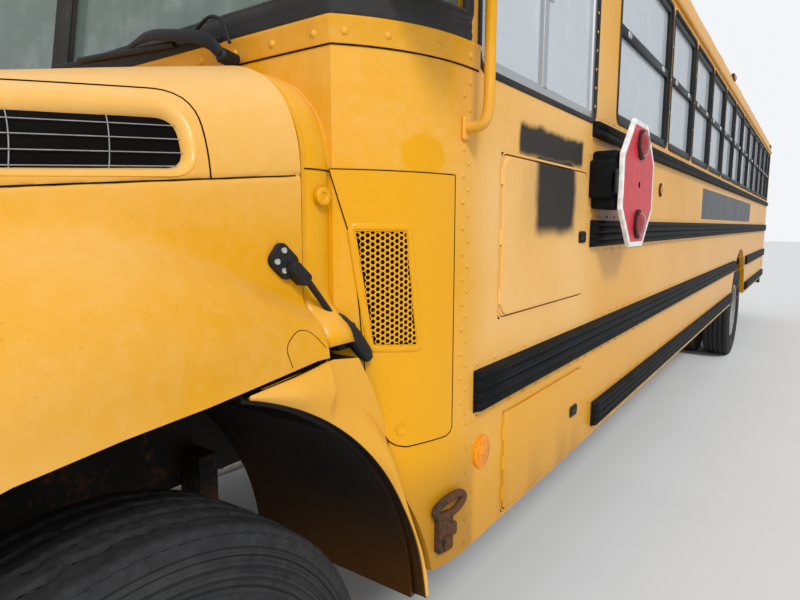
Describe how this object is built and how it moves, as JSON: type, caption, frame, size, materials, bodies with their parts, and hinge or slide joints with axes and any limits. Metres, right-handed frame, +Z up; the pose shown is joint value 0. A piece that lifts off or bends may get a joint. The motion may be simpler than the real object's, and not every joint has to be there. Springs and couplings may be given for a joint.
{
  "type": "school bus",
  "caption": "Conventional school bus: hollow cabin with benches and side windows, tilting hood, steered front wheels, folding entrance, rear and roof exits.",
  "frame": {"origin": "on the ground under the middle of the whole vehicle", "axes": "+X forward, +Y to the driver's side (the vehicle's left), +Z up"},
  "size_m": [11.71, 2.88, 3.161],
  "materials": {
    "body_yellow": "semi-gloss",
    "chassis_black": "satin",
    "engine_grey": "satin",
    "radiator_metal": "satin",
    "tank_black": "satin",
    "exhaust_steel": "matte",
    "bumper_black": "gloss",
    "floor_rubber": "matte",
    "sash_black": "satin",
    "hatch_black": "matte",
    "trim_black": "matte",
    "grille_grey": "satin",
    "lamp_glass": "gloss",
    "cast_metal": "matte",
    "rim_grey": "satin",
    "tyre": "matte",
    "rail_black": "satin",
    "housing_black": "satin",
    "sign_red": "satin",
    "mirror_black": "gloss",
    "lamp_red": "gloss",
    "handle_black": "satin",
    "box_black": "satin",
    "seat_green": "semi-matte vinyl",
    "seat_metal": "satin",
    "seat_grey": "matte",
    "dash_grey": "matte",
    "glass": "gloss"
  },
  "bodies": {
    "body": {"body_floor": "floor_rubber", "body_lamps": "lamp_red", "chassis_frame": "chassis_black", "cowl": "body_yellow", "dashboard": "dash_grey", "driver_seat": "seat_grey", "driveshaft": "chassis_black", "engine_block": "engine_grey", "equipment_boxes": "box_black", "exhaust_pipe": "exhaust_steel", "fender_extensions": "trim_black", "front_axle": "chassis_black", "front_bumper": "bumper_black", "fuel_tank": "tank_black", "grab_handle": "handle_black", "left_wall": "body_yellow", "mirrors": "mirror_black", "radiator": "radiator_metal", "rear_axle": "chassis_black", "rear_bumper": "bumper_black", "rear_wall": "body_yellow", "right_wall": "body_yellow", "roof": "body_yellow", "rub_rails": "rail_black", "seat_backs": "seat_green", "seat_cushions": "seat_green", "seat_frames": "seat_metal", "stepwell": "floor_rubber", "stop_arm_housing": "housing_black", "wheelhouses": "floor_rubber", "window_glass": "glass", "window_sashes": "sash_black", "windshield_frame": "body_yellow", "windshield_glass": "glass"},
    "hood": {"hood": "body_yellow", "grille": "grille_grey", "headlamps": "lamp_glass", "crossview_mirrors": "mirror_black"},
    "knuckle_left": {"knuckle_left": "cast_metal"},
    "knuckle_right": {"knuckle_right": "cast_metal"},
    "front_wheel_left": {"front_rim_left": "rim_grey", "front_tyre_left": "tyre"},
    "front_wheel_right": {"front_rim_right": "rim_grey", "front_tyre_right": "tyre"},
    "rear_wheel_left": {"rear_rims_left": "rim_grey", "rear_tyres_left": "tyre"},
    "rear_wheel_right": {"rear_rims_right": "rim_grey", "rear_tyres_right": "tyre"},
    "entry_leaf_front": {"entry_leaf_front": "sash_black", "entry_glass_front": "glass"},
    "entry_leaf_rear": {"entry_leaf_rear": "sash_black", "entry_glass_rear": "glass"},
    "rear_door": {"rear_door": "body_yellow", "rear_door_glass": "glass"},
    "battery_door": {"battery_door": "body_yellow"},
    "access_door": {"access_door": "body_yellow"},
    "stop_sign": {"stop_sign": "sign_red"},
    "roof_hatch_front": {"roof_hatch_front": "hatch_black"},
    "roof_hatch_rear": {"roof_hatch_rear": "hatch_black"}
  },
  "joints": [
    {"name": "steer_left", "type": "hinge", "parent": "body", "child": "knuckle_left", "pos_m": [4.905, 0.88, 0.505], "axis": [0, 0, 1], "range_deg": [-40, 40]},
    {"name": "steer_right", "type": "hinge", "parent": "body", "child": "knuckle_right", "pos_m": [4.905, -0.88, 0.505], "axis": [0, 0, 1], "range_deg": [-40, 40]},
    {"name": "front_wheel_left_spin", "type": "hinge", "parent": "knuckle_left", "child": "front_wheel_left", "pos_m": [4.905, 1.04, 0.505], "axis": [0, 1, 0], "continuous": true},
    {"name": "front_wheel_right_spin", "type": "hinge", "parent": "knuckle_right", "child": "front_wheel_right", "pos_m": [4.905, -1.04, 0.505], "axis": [0, 1, 0], "continuous": true},
    {"name": "rear_wheel_left_spin", "type": "hinge", "parent": "body", "child": "rear_wheel_left", "pos_m": [-2.205, 1.071, 0.505], "axis": [0, 1, 0], "continuous": true},
    {"name": "rear_wheel_right_spin", "type": "hinge", "parent": "body", "child": "rear_wheel_right", "pos_m": [-2.205, -1.071, 0.505], "axis": [0, 1, 0], "continuous": true},
    {"name": "hood_tilt", "type": "hinge", "parent": "body", "child": "hood", "pos_m": [5.69, 0, 0.845], "axis": [0, 1, 0], "range_deg": [0, 70]},
    {"name": "entry_front_swing", "type": "hinge", "parent": "body", "child": "entry_leaf_front", "pos_m": [3.955, -1.219, 1.45], "axis": [0, 0, 1], "range_deg": [0, 90]},
    {"name": "entry_rear_swing", "type": "hinge", "parent": "body", "child": "entry_leaf_rear", "pos_m": [3.165, -1.219, 1.45], "axis": [0, 0, 1], "range_deg": [-90, 0]},
    {"name": "rear_door_swing", "type": "hinge", "parent": "body", "child": "rear_door", "pos_m": [-5.755, -0.464, 1.78], "axis": [0, 0, 1], "range_deg": [0, 105]},
    {"name": "battery_door_swing", "type": "hinge", "parent": "body", "child": "battery_door", "pos_m": [3.871, 1.219, 0.8], "axis": [0, 0, 1], "range_deg": [-110, 0]},
    {"name": "access_door_swing", "type": "hinge", "parent": "body", "child": "access_door", "pos_m": [3.917, 1.219, 1.42], "axis": [0, 0, 1], "range_deg": [-110, 0]},
    {"name": "stop_sign_swing", "type": "hinge", "parent": "body", "child": "stop_sign", "pos_m": [3.2035, 1.314, 1.6], "axis": [0, 0, 1], "range_deg": [-90, 0]},
    {"name": "hatch_front_lift", "type": "hinge", "parent": "body", "child": "roof_hatch_front", "pos_m": [1.98, 0, 3.131], "axis": [0, 1, 0], "range_deg": [0, 60]},
    {"name": "hatch_rear_lift", "type": "hinge", "parent": "body", "child": "roof_hatch_rear", "pos_m": [-2.96, 0, 3.131], "axis": [0, 1, 0], "range_deg": [0, 60]}
  ],
  "couplings": [
    {"joint": "steer_right", "follows": "steer_left", "ratio": 1},
    {"joint": "entry_rear_swing", "follows": "entry_front_swing", "ratio": -1}
  ]
}
